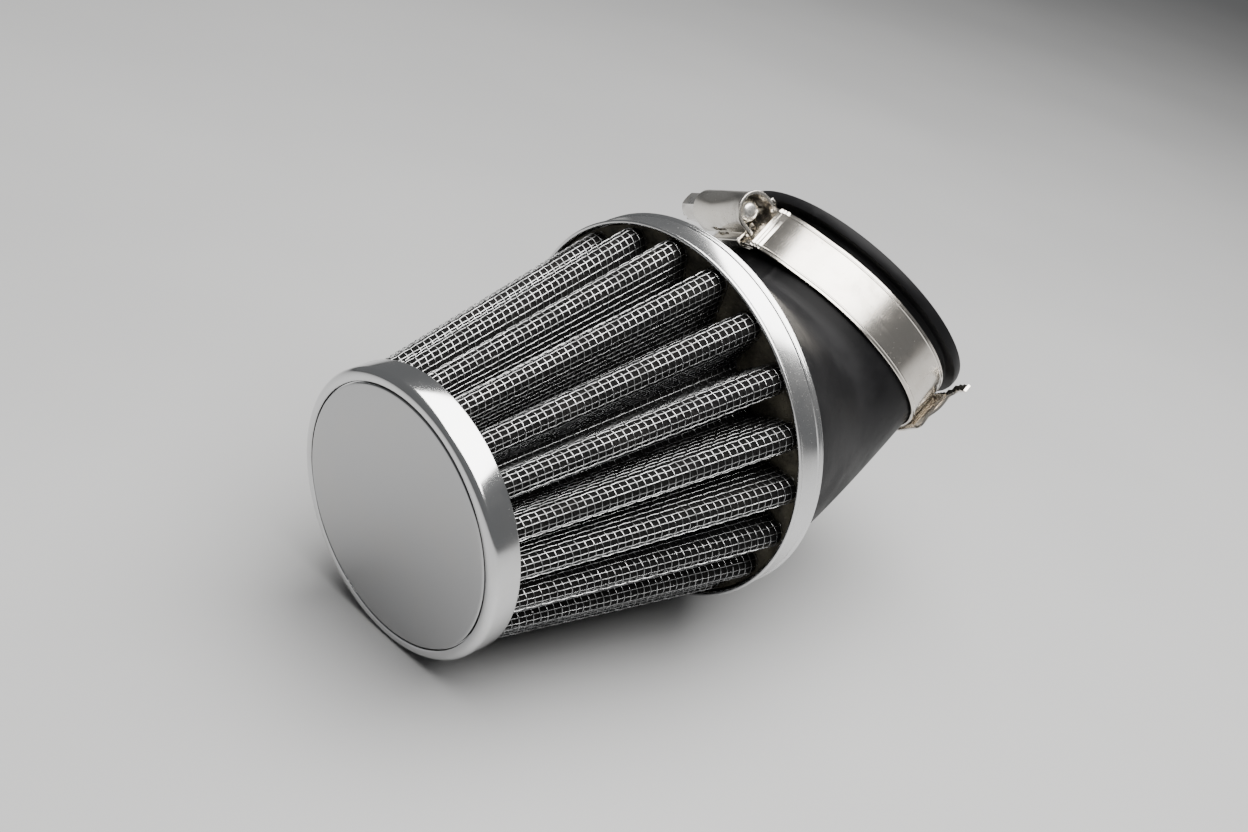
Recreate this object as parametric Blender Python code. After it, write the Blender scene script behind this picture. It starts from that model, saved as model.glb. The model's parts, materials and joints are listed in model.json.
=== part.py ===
"""Clamp-on conical air filter for a motorcycle carburettor: a pleated screen pack between a chromed
cap and a chromed ring, on an angled rubber neck that a worm-drive hose clamp closes on the inlet.

Lengths in the constants are in millimetres, and MM turns them into metres. The filter lies on its
side, on the rims of its cap and ring, with its bottom centre at the origin and its neck bent upwards.

Two frames hold the pieces. "filter" has its +Z on the cone's axis, from the cap's face to the neck,
and its +Y towards the side that the neck bends to. "neck" has its +Z on the neck's axis, and its
origin on that axis at the clamp's near edge. "clamp_head" has its +X on the worm screw's axis.
"""

from math import acos, atan2, cos, pi, radians, sin

import bmesh
import bpy
from mathutils import Matrix, Vector

MM = 0.001
GAP = 0.3           # clearance that neighbouring pieces keep
SEGMENTS = 54       # sides of a round piece, so that one side lies flat on the floor
SHARP_EDGE = 35.0   # degrees

# Cap
CAP_RADIUS = 28.0
CAP_DEPTH = 6.4
CAP_WALL = 0.8
CAP_SHOULDER = 1.6
PLATE_RADIUS = 25.3
PLATE_THICKNESS = 0.4

# Ring round the pack's wide end
RING_FRONT = 65.3
RING_WIDTH = 6.9
RING_RADIUS = 40.0
RING_WALL = 0.9
RING_LIP_HEIGHT = 0.25
RING_LIP_WIDTH = 0.9
RING_FLANGE_THICKNESS = 0.7
RING_FLANGE_INNER = 37.9

# Resin that the pack's two ends are set in
FRONT_POTTING_DEPTH = 3.2
REAR_POTTING_FRONT = 67.3
REAR_POTTING_THICKNESS = 2.0
REAR_POTTING_INNER = 24.8

# Pleated pack: each end is (distance from the cap's face, outermost radius, radius of the ridges'
# round, radius that the valleys' round is centred on, radius of the valleys' round)
PLEATS = 20
FIRST_PLEAT = 14.3  # degrees, from +X of the filter frame
PACK_NARROW_END = (5.3, 26.75, 2.5, 19.2, 0.5)
PACK_WIDE_END = (67.0, 38.7, 3.1, 28.0, 0.9)
SCREEN_THICKNESS = 0.35
MEDIA_THICKNESS = 0.8
RIDGE_STEPS = 2
VALLEY_STEPS = 1
SEAM_WIDTH = 3.0
SEAM_THICKNESS = 0.5
SEAM_INSET = 1.5
SEAM_VALLEY = 4     # the valley that hides the seam, counted from the first pleat

# Rubber neck
NECK_BEND = 36.15           # degrees between the cone's axis and the neck's
NECK_ORIGIN = (0.0, 3.22, 113.26)
NECK_SEGMENTS = 42
FLANGE_RADIUS = 38.8
FLANGE_THICKNESS = 1.6
ROOT_RADIUS = 37.6
ROOT_BORE = 33.5
NECK_RADIUS = 28.0
BORE_RADIUS = 25.0
COLLAR_START = -2.5         # along the neck, where the elbow becomes a straight collar
BEAD_START = 12.3
BEAD_RADIUS = 30.5
MOUTH = 14.9
ELBOW_STEPS = 6
ELBOW_LEAN = 0.7            # how far the elbow leaves the ring towards the collar, 0 to 1
ELBOW_LEAVE_PULL = 0.9      # how straight the elbow leaves the ring
ELBOW_ARRIVE_PULL = 0.75    # and how straight it meets the collar

# Hose clamp
BAND_WIDTH = 10.5
BAND_THICKNESS = 0.6
BAND_INNER = 28.3
SADDLE_INNER = 29.2
SADDLE_THICKNESS = 0.5
OUTER_LAYER = 29.2          # inner radius of the tail where it lies on the band
RAISED_LAYER = 30.0         # and where it passes over the saddle
BAND_FIXED_END = -16.0      # degrees round the neck, from the side that the neck bends to
BAND_RISE_START = -345.0
BAND_RISE_END = -371.0
BAND_FREE_END = -383.0
SADDLE_START = -52.0
SADDLE_END = -13.0
TAIL_START = -34.0
TAIL_DROP_START = -62.0
TAIL_DROP_END = -74.0
TAIL_FLARE_START = -232.0
TAIL_END = -256.0
TAIL_FLARE = 4.6
STRIP_STEP = 6.0            # degrees between the sections of a bent strip
SLOT_FIRST = -80.0
SLOT_COUNT = 32
SLOT_LENGTH = 6.6
SLOT_WIDTH = 1.2
SLOT_SLANT = 6.0            # degrees

# Worm screw and its housing
HEAD_ANGLE = -28.0          # degrees round the neck
HEAD_SKEW = 4.0             # degrees that the housing is turned on the band
SCREW_AXIS_RADIUS = 33.8
SCREW_LEAD = 2.5
WORM_RADIUS = 2.9
WORM_DEPTH = 0.6
WORM_START = -8.5
WORM_END = 4.0
SCREW_TIP = 6.0
WORM_SECTIONS = 5           # sections in each turn of the worm
COLLAR_RADIUS = 3.2
HEX_START = -17.3
HEX_END = -11.8
HEX_FLATS = 5.8
DRIVER_SLOT_WIDTH = 1.0
DRIVER_SLOT_DEPTH = 1.6
HOUSING_RADIUS = 4.3
HOUSING_WALL = 0.8
HOUSING_START = -10.8
HOUSING_END = 7.4
ARCH_STEPS = 12
HOUSING_FOOT = -2.9         # height of the walls' lower edge, from the screw's axis
FOOT_INNER = 5.75
FOOT_THICKNESS = 0.6
FOOT_BOTTOM = -4.7
FOOT_HALF_LENGTH = 4.5


def make_material(name, colour, metallic, roughness):
    material = bpy.data.materials.new(name)
    material.use_nodes = True
    shader = material.node_tree.nodes["Principled BSDF"]
    shader.inputs["Base Color"].default_value = (*colour, 1.0)
    shader.inputs["Metallic"].default_value = metallic
    shader.inputs["Roughness"].default_value = roughness
    return material


def make_empty(name, parent, matrix):
    empty = bpy.data.objects.new(name, None)
    bpy.context.scene.collection.objects.link(empty)
    empty.parent = parent
    empty.matrix_local = matrix
    return empty


def add_object(name, mesh_data, material, parent):
    """Writes a bmesh to a named, smooth-shaded object in its parent's frame."""
    bmesh.ops.recalc_face_normals(mesh_data, faces=mesh_data.faces)
    mesh = bpy.data.meshes.new(name)
    mesh_data.to_mesh(mesh)
    mesh_data.free()
    mesh.shade_smooth()
    mesh.set_sharp_from_angle(angle=radians(SHARP_EDGE))
    mesh.materials.append(material)
    obj = bpy.data.objects.new(name, mesh)
    bpy.context.scene.collection.objects.link(obj)
    obj.parent = parent
    return obj


def loft(rings, closed):
    """Joins each ring of points (in mm) to the next: the last to the first, or both ends capped."""
    shell = bmesh.new()
    loops = [[shell.verts.new(Vector(point) * MM) for point in ring] for ring in rings]
    following = loops[1:] + loops[:1] if closed else loops[1:]
    for near, far in zip(loops, following):
        for i, corner in enumerate(near):
            last = (i + 1) % len(near)
            shell.faces.new((corner, near[last], far[last], far[i]))
    if not closed:
        shell.faces.new(loops[0])
        shell.faces.new(loops[-1])
    return shell


def circle(radius, z, sides=SEGMENTS):
    return [(radius * cos(2 * pi * i / sides), radius * sin(2 * pi * i / sides), z) for i in range(sides)]


def turned(name, profile, material, parent, closed):
    """A turned piece: profile holds (radius, distance along the axis)."""
    return add_object(name, loft([circle(r, z) for r, z in profile], closed), material, parent)


def combine(target, helper, operation):
    """Joins a helper object's shape to a piece, or takes it out."""
    helper.hide_render = True
    helper.display_type = "WIRE"
    boolean = target.modifiers.new(operation.lower() + "_" + helper.name, "BOOLEAN")
    boolean.operation = operation
    boolean.solver = "EXACT"
    boolean.object = helper


def block(low, high):
    """The rings of a box between two corners, for loft."""
    (x0, y0, z0), (x1, y1, z1) = low, high
    return [[(x, y0, z0), (x, y1, z0), (x, y1, z1), (x, y0, z1)] for x in (x0, x1)]


# ---- Cap ----

def build_cap(parent, chrome, plate_chrome, resin):
    rim_inner = PLATE_RADIUS + 0.4
    floor = PLATE_THICKNESS + GAP
    inner = CAP_RADIUS - CAP_WALL
    shoulder = [
        (CAP_RADIUS - CAP_SHOULDER * (1 - sin(a)), CAP_SHOULDER * (1 - cos(a)))
        for a in (radians(step) for step in (0, 30, 60, 90))
    ]
    profile = [
        (rim_inner, floor),
        (rim_inner, 0.3),
        *shoulder,
        (CAP_RADIUS, CAP_DEPTH - 0.25),
        (CAP_RADIUS - 0.25, CAP_DEPTH),
        (inner + 0.15, CAP_DEPTH),
        (inner, CAP_DEPTH - 0.15),
        (inner, floor + CAP_WALL),
    ]
    turned("front_cap", profile, chrome, parent, closed=False)
    plate = [(PLATE_RADIUS, PLATE_THICKNESS), (PLATE_RADIUS, 0.12), (PLATE_RADIUS - 0.2, 0.0)]
    turned("front_plate", plate, plate_chrome, parent, closed=False)
    potting_front = floor + CAP_WALL + GAP
    potting_radius = inner - GAP
    potting = [(potting_radius, potting_front), (potting_radius, potting_front + FRONT_POTTING_DEPTH)]
    turned("front_potting", potting, resin, parent, closed=False)


# ---- Pleated pack ----

def pleat_outline(end, depth):
    """The pack's outline at one end, on the surface that lies depth below its outer face."""
    z, outermost, ridge, valley_centre, valley = end
    half_pitch = pi / PLEATS
    ridge_centre = outermost - ridge
    to_valley = Vector((valley_centre * cos(half_pitch) - ridge_centre, valley_centre * sin(half_pitch)))
    flank = atan2(to_valley.y, to_valley.x) - acos((ridge + valley) / to_valley.length)
    half = []
    for i in range(RIDGE_STEPS + 1):
        angle = flank * i / RIDGE_STEPS
        reach = ridge - depth
        half.append((ridge_centre + reach * cos(angle), reach * sin(angle)))
    for i in range(VALLEY_STEPS + 1):
        angle = flank + pi + (half_pitch - flank) * i / VALLEY_STEPS
        reach = valley + depth
        half.append((
            valley_centre * cos(half_pitch) + reach * cos(angle),
            valley_centre * sin(half_pitch) + reach * sin(angle),
        ))
    mirrored = [(x, -y) for x, y in reversed(half[1:-1])]
    outline = []
    for pleat in range(PLEATS):
        turn = Matrix.Rotation(radians(FIRST_PLEAT) + 2 * half_pitch * pleat, 2)
        for point in mirrored + half:
            outline.append((*(turn @ Vector(point)), z))
    return outline


def build_pleated_layer(name, depth, thickness, material, parent):
    rings = [
        pleat_outline(PACK_NARROW_END, depth),
        pleat_outline(PACK_WIDE_END, depth),
        pleat_outline(PACK_WIDE_END, depth + thickness),
        pleat_outline(PACK_NARROW_END, depth + thickness),
    ]
    add_object(name, loft(rings, closed=True), material, parent)


def build_pack(parent, wire, media, inner_wire, tape):
    media_depth = SCREEN_THICKNESS + GAP
    inner_depth = media_depth + MEDIA_THICKNESS + GAP
    build_pleated_layer("outer_screen", 0.0, SCREEN_THICKNESS, wire, parent)
    build_pleated_layer("filter_media", media_depth, MEDIA_THICKNESS, media, parent)
    build_pleated_layer("inner_screen", inner_depth, SCREEN_THICKNESS, inner_wire, parent)
    turn = radians(FIRST_PLEAT) + 2 * pi * (SEAM_VALLEY + 0.5) / PLEATS
    sections = []
    for end, inset in ((PACK_NARROW_END, SEAM_INSET), (PACK_WIDE_END, -SEAM_INSET)):
        z, _, _, valley_centre, valley = end
        outer = valley_centre - valley - inner_depth - SCREEN_THICKNESS - GAP
        section = [
            Vector((radius, side, z + inset))
            for radius, side in (
                (outer - SEAM_THICKNESS, -SEAM_WIDTH / 2),
                (outer, -SEAM_WIDTH / 2),
                (outer, SEAM_WIDTH / 2),
                (outer - SEAM_THICKNESS, SEAM_WIDTH / 2),
            )
        ]
        sections.append([Matrix.Rotation(turn, 3, "Z") @ point for point in section])
    add_object("pack_seam", loft(sections, closed=False), tape, parent)


# ---- Ring and resin at the wide end ----

def build_ring(parent, chrome, resin):
    back = RING_FRONT + RING_WIDTH
    body = RING_RADIUS - RING_LIP_HEIGHT
    inner = RING_RADIUS - RING_WALL
    lip = RING_LIP_WIDTH
    edge = 0.25
    profile = [
        (inner, RING_FRONT + edge),
        (inner + edge, RING_FRONT),
        (RING_RADIUS - edge, RING_FRONT),
        (RING_RADIUS, RING_FRONT + edge),
        (RING_RADIUS, RING_FRONT + lip),
        (body, RING_FRONT + lip + edge),
        (body, back - lip - edge),
        (RING_RADIUS, back - lip),
        (RING_RADIUS, back - edge),
        (RING_RADIUS - edge, back),
        (RING_FLANGE_INNER, back),
        (RING_FLANGE_INNER, back - RING_FLANGE_THICKNESS),
        (inner, back - RING_FLANGE_THICKNESS),
    ]
    turned("rear_ring", profile, chrome, parent, closed=True)
    outer = inner - GAP
    potting_back = REAR_POTTING_FRONT + REAR_POTTING_THICKNESS
    potting = [
        (REAR_POTTING_INNER, REAR_POTTING_FRONT),
        (outer, REAR_POTTING_FRONT),
        (outer, potting_back),
        (REAR_POTTING_INNER, potting_back),
    ]
    turned("rear_potting", potting, resin, parent, closed=True)


# ---- Rubber neck ----

def neck_circle(radius, along):
    """A circle round the neck's axis, in the filter frame, starting on the side it bends to."""
    bend = radians(NECK_BEND)
    axis = Vector((0, sin(bend), cos(bend)))
    outwards = Vector((0, cos(bend), -sin(bend)))
    sideways = Vector((-1, 0, 0))
    centre = Vector(NECK_ORIGIN) + along * axis
    return [
        centre + radius * (cos(a) * outwards + sin(a) * sideways)
        for a in (2 * pi * i / NECK_SEGMENTS for i in range(NECK_SEGMENTS))
    ]


def root_circle(radius, z):
    """A circle round the cone's axis whose points match those of neck_circle."""
    angles = [2 * pi * i / NECK_SEGMENTS for i in range(NECK_SEGMENTS)]
    return [Vector((-radius * sin(a), radius * cos(a), z)) for a in angles]


def elbow(start_radius, start_z, end_radius):
    """The rings between a circle at the ring and the start of the collar, ends included."""
    bend = radians(NECK_BEND)
    leave = Vector((0, 0, 1))
    arrive = Vector((0, sin(bend), cos(bend)))
    starts = root_circle(start_radius, start_z)
    ends = neck_circle(end_radius, COLLAR_START)
    rings = []
    for step in range(ELBOW_STEPS + 1):
        t = step / ELBOW_STEPS
        ring = []
        for start, end in zip(starts, ends):
            chord = end - start
            towards = leave.lerp(chord.normalized(), ELBOW_LEAN).normalized()
            leaving = towards * chord.length * ELBOW_LEAVE_PULL
            arriving = arrive * chord.length * ELBOW_ARRIVE_PULL
            ring.append(
                start * (2 * t**3 - 3 * t**2 + 1)
                + leaving * (t**3 - 2 * t**2 + t)
                + end * (3 * t**2 - 2 * t**3)
                + arriving * (t**3 - t**2)
            )
        rings.append(ring)
    return rings


def build_neck(parent, rubber):
    flange_front = REAR_POTTING_FRONT + REAR_POTTING_THICKNESS + GAP
    flange_back = flange_front + FLANGE_THICKNESS
    root = RING_FRONT + RING_WIDTH + 0.2
    bead = [
        (NECK_RADIUS, BEAD_START - 0.3),
        (BEAD_RADIUS - 0.5, BEAD_START),
        (BEAD_RADIUS, BEAD_START + 0.6),
        (BEAD_RADIUS, MOUTH - 0.8),
        (BEAD_RADIUS - 0.6, MOUTH),
        (BORE_RADIUS + 0.5, MOUTH),
        (BORE_RADIUS, MOUTH - 0.5),
    ]
    rings = [
        root_circle(ROOT_BORE, flange_front),
        root_circle(FLANGE_RADIUS, flange_front),
        root_circle(FLANGE_RADIUS, flange_back),
        root_circle(ROOT_RADIUS, flange_back),
        *elbow(ROOT_RADIUS, root, NECK_RADIUS),
        *(neck_circle(radius, along) for radius, along in bead),
        *reversed(elbow(ROOT_BORE, root, BORE_RADIUS)),
    ]
    add_object("rubber_neck", loft(rings, closed=True), rubber, parent)


# ---- Hose clamp ----

def blend(value, start, end):
    """0 at start, 1 at end, and an even S between them."""
    t = min(max((value - start) / (end - start), 0.0), 1.0)
    return t * t * (3 - 2 * t)


def band_radius(angle):
    lift = RAISED_LAYER - BAND_INNER
    return BAND_INNER + lift * blend(angle, BAND_RISE_START, BAND_RISE_END)


def saddle_radius(_):
    return SADDLE_INNER


def tail_radius(angle):
    drop = RAISED_LAYER - OUTER_LAYER
    flare = max(0.0, (TAIL_FLARE_START - angle) / (TAIL_FLARE_START - TAIL_END))
    return RAISED_LAYER - drop * blend(angle, TAIL_DROP_START, TAIL_DROP_END) + TAIL_FLARE * flare**2


def strip(name, start, end, radius_at, thickness, width, material, parent):
    """A strip bent round the neck, between two angles, centred on the band's width."""
    count = round(abs(end - start) / STRIP_STEP)
    low = (BAND_WIDTH - width) / 2
    high = (BAND_WIDTH + width) / 2
    rings = []
    for i in range(count + 1):
        angle = start + (end - start) * i / count
        across = Vector((cos(radians(angle)), sin(radians(angle)), 0))
        near = across * radius_at(angle)
        far = across * (radius_at(angle) + thickness)
        rings.append([(*near.xy, low), (*far.xy, low), (*far.xy, high), (*near.xy, high)])
    return add_object(name, loft(rings, closed=False), material, parent)


def cut_slots(tail, steel, parent):
    """The slanted slots that the worm drives, a screw's lead apart."""
    slots = bmesh.new()
    pitch = SCREW_LEAD / (OUTER_LAYER + BAND_THICKNESS / 2)
    for i in range(SLOT_COUNT):
        turn = Matrix.Rotation(radians(SLOT_FIRST) - i * pitch, 4, "Z")
        place = Matrix.Translation((tail_radius(SLOT_FIRST) * MM, 0, BAND_WIDTH / 2 * MM))
        slant = Matrix.Rotation(radians(SLOT_SLANT), 4, "X")
        size = Matrix.Diagonal((4 * MM, SLOT_WIDTH * MM, SLOT_LENGTH * MM, 1))
        bmesh.ops.create_cube(slots, size=1.0, matrix=turn @ place @ slant @ size)
    combine(tail, add_object("slot_cutter", slots, steel, parent), "DIFFERENCE")


def clamp_head_matrix():
    """Where the worm screw lies: +X along it, from its hexagon to its tip, and +Z outwards."""
    angle = radians(HEAD_ANGLE)
    outwards = Vector((cos(angle), sin(angle), 0))
    along = Vector((-sin(angle), cos(angle), 0))
    axis = Vector((0, 0, 1))
    place = outwards * SCREW_AXIS_RADIUS + axis * BAND_WIDTH / 2
    turn = Matrix((along, axis, outwards)).transposed().to_4x4()
    return Matrix.Translation(place * MM) @ turn @ Matrix.Rotation(radians(HEAD_SKEW), 4, "Z")


def build_housing(parent, steel):
    """A pressed tunnel over the screw, with a foot on each side that grips the saddle and band."""
    def arch(radius, x):
        angles = [pi * i / ARCH_STEPS for i in range(ARCH_STEPS + 1)]
        return [(x, radius * cos(a), radius * sin(a)) for a in angles]

    outer, inner = HOUSING_RADIUS, HOUSING_RADIUS - HOUSING_WALL
    sections = []
    for x in (HOUSING_START, HOUSING_END):
        legs = [(x, -outer, HOUSING_FOOT), (x, -inner, HOUSING_FOOT)]
        feet = [(x, inner, HOUSING_FOOT), (x, outer, HOUSING_FOOT)]
        sections.append(arch(outer, x) + legs + arch(inner, x)[::-1] + feet)
    housing = add_object("clamp_housing", loft(sections, closed=False), steel, parent)
    for side, name in ((-1, "near_foot"), (1, "far_foot")):
        wall = inner + HOUSING_WALL / 2
        edge = FOOT_INNER + FOOT_THICKNESS
        section = [
            (side * wall, HOUSING_FOOT),
            (side * FOOT_INNER, HOUSING_FOOT),
            (side * FOOT_INNER, FOOT_BOTTOM),
            (side * edge, FOOT_BOTTOM),
            (side * edge, HOUSING_FOOT + FOOT_THICKNESS),
            (side * wall, HOUSING_FOOT + FOOT_THICKNESS),
        ]
        ends = [[(x, y, z) for y, z in section] for x in (-FOOT_HALF_LENGTH, FOOT_HALF_LENGTH)]
        combine(housing, add_object(name, loft(ends, closed=False), steel, parent), "UNION")


def build_screw(parent, steel):
    """Hexagon, collar, right-hand worm and domed tip, all of one piece."""
    sides = 12

    def ring(x, radius_at):
        points = []
        for i in range(sides):
            angle = 2 * pi * i / sides
            points.append((x, radius_at(angle) * cos(angle), radius_at(angle) * sin(angle)))
        return points

    def hexagon(flats):
        return lambda angle: flats / 2 / cos(angle % (pi / 3) - pi / 6)

    def thread(x):
        ramp = min(1.0, (x - WORM_START) / SCREW_LEAD, (WORM_END - x) / SCREW_LEAD)
        return lambda angle: WORM_RADIUS - WORM_DEPTH * (
            1 - max(ramp, 0.0) * (0.5 + 0.5 * cos(angle - 2 * pi * x / SCREW_LEAD))
        )

    core = WORM_RADIUS - WORM_DEPTH
    rings = [
        ring(HEX_START, hexagon(HEX_FLATS - 0.8)),
        ring(HEX_START + 0.5, hexagon(HEX_FLATS)),
        ring(HEX_END, hexagon(HEX_FLATS)),
        ring(HEX_END + 0.3, lambda _: COLLAR_RADIUS),
        ring(WORM_START - 0.6, lambda _: COLLAR_RADIUS),
        ring(WORM_START - 0.3, lambda _: core),
    ]
    count = round((WORM_END - WORM_START) / SCREW_LEAD * WORM_SECTIONS)
    for i in range(count + 1):
        x = WORM_START + (WORM_END - WORM_START) * i / count
        rings.append(ring(x, thread(x)))
    dome = SCREW_TIP - WORM_END
    for degrees in (30, 60, 80):
        radius = core * cos(radians(degrees))
        rings.append(ring(WORM_END + dome * sin(radians(degrees)), lambda _, r=radius: r))
    screw = add_object("clamp_screw", loft(rings, closed=False), steel, parent)
    slot = block(
        (HEX_START - 1, -DRIVER_SLOT_WIDTH / 2, -HEX_FLATS),
        (HEX_START + DRIVER_SLOT_DEPTH, DRIVER_SLOT_WIDTH / 2, HEX_FLATS),
    )
    combine(screw, add_object("driver_slot_cutter", loft(slot, closed=False), steel, parent), "DIFFERENCE")


def build_clamp(neck, steel, screw_steel):
    strip("clamp_band", BAND_FIXED_END, BAND_FREE_END, band_radius, BAND_THICKNESS, BAND_WIDTH, steel, neck)
    strip("clamp_saddle", SADDLE_START, SADDLE_END, saddle_radius, SADDLE_THICKNESS,
          BAND_WIDTH + 0.1, steel, neck)
    tail = strip("clamp_tail", TAIL_START, TAIL_END, tail_radius, BAND_THICKNESS, BAND_WIDTH, steel, neck)
    cut_slots(tail, steel, neck)
    head = make_empty("clamp_head", neck, clamp_head_matrix())
    build_housing(head, steel)
    build_screw(head, screw_steel)


# ---- Whole filter ----

def lying_matrix():
    """Turns the cone's axis to +X and lays the rims of the cap and ring on the floor."""
    flat = cos(pi / SEGMENTS)
    run = RING_FRONT + 0.25 - CAP_SHOULDER
    tilt = atan2((RING_RADIUS - CAP_RADIUS) * flat, run)
    upright = Matrix(((0, 0, 1), (1, 0, 0), (0, 1, 0))).to_4x4()
    return Matrix.Rotation(-tilt, 4, "Y") @ upright


def stand_on_origin(root):
    """Moves the filter so that the bottom centre of its box is the origin."""
    bpy.context.view_layer.update()
    solids = [obj for obj in bpy.data.objects if obj.type == "MESH" and not obj.hide_render]
    points = [obj.matrix_world @ vertex.co for obj in solids for vertex in obj.data.vertices]
    lows = [min(point[axis] for point in points) for axis in range(3)]
    highs = [max(point[axis] for point in points) for axis in range(3)]
    root.location -= Vector(((lows[0] + highs[0]) / 2, (lows[1] + highs[1]) / 2, lows[2]))


def main():
    for obj in list(bpy.data.objects):
        bpy.data.objects.remove(obj)
    chrome = make_material("chrome", (0.78, 0.79, 0.8), 1.0, 0.08)
    plate_chrome = make_material("plate_chrome", (0.74, 0.75, 0.76), 1.0, 0.04)
    resin = make_material("resin", (0.16, 0.15, 0.11), 0.0, 0.7)
    rear_resin = make_material("rear_resin", (0.15, 0.14, 0.1), 0.0, 0.75)
    wire = make_material("screen_wire", (0.62, 0.63, 0.64), 1.0, 0.32)
    media = make_material("media_cloth", (0.02, 0.02, 0.02), 0.0, 0.9)
    inner_wire = make_material("inner_screen_wire", (0.5, 0.51, 0.52), 1.0, 0.4)
    tape = make_material("seam_strip", (0.45, 0.45, 0.45), 1.0, 0.45)
    rubber = make_material("rubber", (0.02, 0.02, 0.022), 0.0, 0.45)
    steel = make_material("clamp_steel", (0.66, 0.64, 0.6), 1.0, 0.2)
    screw_steel = make_material("screw_steel", (0.7, 0.69, 0.67), 1.0, 0.25)

    root = make_empty("filter", None, lying_matrix())
    turn = Matrix.Rotation(radians(-NECK_BEND), 4, "X") @ Matrix.Rotation(pi / 2, 4, "Z")
    neck = make_empty("neck", root, Matrix.Translation(Vector(NECK_ORIGIN) * MM) @ turn)
    build_cap(root, chrome, plate_chrome, resin)
    build_pack(root, wire, media, inner_wire, tape)
    build_ring(root, chrome, rear_resin)
    build_neck(root, rubber)
    build_clamp(neck, steel, screw_steel)
    stand_on_origin(root)


main()
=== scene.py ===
"""Looks of a clamp-on conical air filter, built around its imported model.

Three frames hold the pieces. "filter" has its +Z on the cone's axis, from the cap's face to the neck,
and its +Y towards the side that the neck bends to. "neck" has its +Z on the neck's axis and its
origin at the clamp's near edge. "head" has its +X on the clamp's worm screw. Sizes are in millimetres.
"""

import json
import logging
from collections.abc import Callable, Sequence
from dataclasses import dataclass
from enum import Enum
from math import acos, atan2, cos, exp, pi, radians, sin

import bpy
import numpy as np
from mathutils import Matrix, Vector

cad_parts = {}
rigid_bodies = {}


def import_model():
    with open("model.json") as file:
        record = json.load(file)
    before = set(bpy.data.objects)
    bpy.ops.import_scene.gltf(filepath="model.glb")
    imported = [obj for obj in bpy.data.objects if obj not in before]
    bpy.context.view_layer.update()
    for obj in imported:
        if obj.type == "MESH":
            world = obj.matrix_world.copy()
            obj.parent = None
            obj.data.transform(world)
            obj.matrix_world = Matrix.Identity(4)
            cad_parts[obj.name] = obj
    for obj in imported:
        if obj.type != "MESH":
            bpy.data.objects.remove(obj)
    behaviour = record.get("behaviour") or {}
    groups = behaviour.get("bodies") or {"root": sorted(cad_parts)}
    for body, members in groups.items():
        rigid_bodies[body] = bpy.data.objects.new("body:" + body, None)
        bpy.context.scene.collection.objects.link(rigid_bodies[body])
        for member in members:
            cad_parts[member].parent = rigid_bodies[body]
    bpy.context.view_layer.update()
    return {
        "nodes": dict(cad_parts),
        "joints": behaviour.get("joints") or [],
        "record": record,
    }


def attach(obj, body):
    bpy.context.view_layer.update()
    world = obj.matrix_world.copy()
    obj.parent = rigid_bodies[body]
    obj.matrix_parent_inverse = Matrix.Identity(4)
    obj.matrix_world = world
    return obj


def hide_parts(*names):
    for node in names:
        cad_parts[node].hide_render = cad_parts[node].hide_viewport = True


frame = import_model()

log = logging.getLogger("air_filter")

MM = 0.001
BAND_WIDTH = 10.5

Colour = tuple[float, float, float]


class Body(Enum):
    """The moving bodies that pieces ride on."""

    FILTER = "filter"
    CLAMP = "clamp"
    SCREW = "screw"
    TAIL = "tail"


class Brushing(Enum):
    """Which way the fine lines of a metal run."""

    ROUND = (25.0, 25.0, 5200.0)
    LENGTHWISE = (120.0, 4200.0, 4200.0)
    NONE = (900.0, 900.0, 900.0)


# ---- Frames ----


def frame_of(origin: Vector, x_axis: Vector, z_axis: Vector) -> Matrix:
    """A right-handed frame.

    Args:
        origin: Where it stands, in metres.
        x_axis: Its X direction.
        z_axis: Its Z direction, square to X.

    Returns:
        The 4x4 matrix from the frame to the row.
    """
    turn = Matrix((x_axis, z_axis.cross(x_axis), z_axis)).transposed().to_4x4()
    return Matrix.Translation(origin) @ turn


def joint_line(name: str) -> tuple[Vector, Vector]:
    """A joint's line.

    Args:
        name: The joint's name.

    Returns:
        A point on it and its direction.
    """
    joint = next(item for item in frame["joints"] if item["name"] == name)
    return Vector(joint["pos_m"]), Vector(joint["axis"]).normalized()


def filter_frame() -> Matrix:
    """The frame on the cone's axis, from the cap's face."""
    face = next(item for item in frame["record"]["mounts"] if item["name"] == "front_face")
    along = -Vector(face["axis"]).normalized()
    return frame_of(Vector(face["pos_m"]), Vector((0, 1, 0)), along)


def neck_frame() -> Matrix:
    """The frame on the neck's axis, from the clamp's near edge."""
    middle, axis = joint_line("clamp_swivel")
    return frame_of(middle - axis * (BAND_WIDTH / 2 * MM), Vector((0, -1, 0)).cross(axis), axis)


def head_frame() -> Matrix:
    """The frame on the worm screw, with +Z away from the neck."""
    place, along = joint_line("screw_turn")
    middle, axis = joint_line("clamp_swivel")
    outwards = place - middle
    outwards -= axis * outwards.dot(axis)
    return frame_of(place, along, outwards.normalized())


FILTER = filter_frame()
NECK = neck_frame()
HEAD = head_frame()


# ---- Modelling ----


def pick(*objs: bpy.types.Object) -> None:
    """Selects these objects and nothing else, and makes the first one active."""
    bpy.ops.object.select_all(action="DESELECT")
    for obj in objs:
        obj.select_set(True)
    bpy.context.view_layer.objects.active = objs[0]


class Editing:
    """Edit mode on one object, as a with block. Everything is selected on the way in."""

    def __init__(self, obj: bpy.types.Object, kind: str = "VERT") -> None:
        """Names the object and what is selected on it.

        Args:
            obj: The object to edit.
            kind: What is selected: VERT, EDGE or FACE.
        """
        self.obj = obj
        self.kind = kind

    def __enter__(self) -> None:
        """Goes into edit mode."""
        pick(self.obj)
        bpy.ops.object.mode_set(mode="EDIT")
        bpy.ops.mesh.select_mode(type=self.kind)
        bpy.ops.mesh.select_all(action="SELECT")

    def __exit__(self, *_: object) -> None:
        """Goes back to object mode."""
        bpy.ops.object.mode_set(mode="OBJECT")


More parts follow.
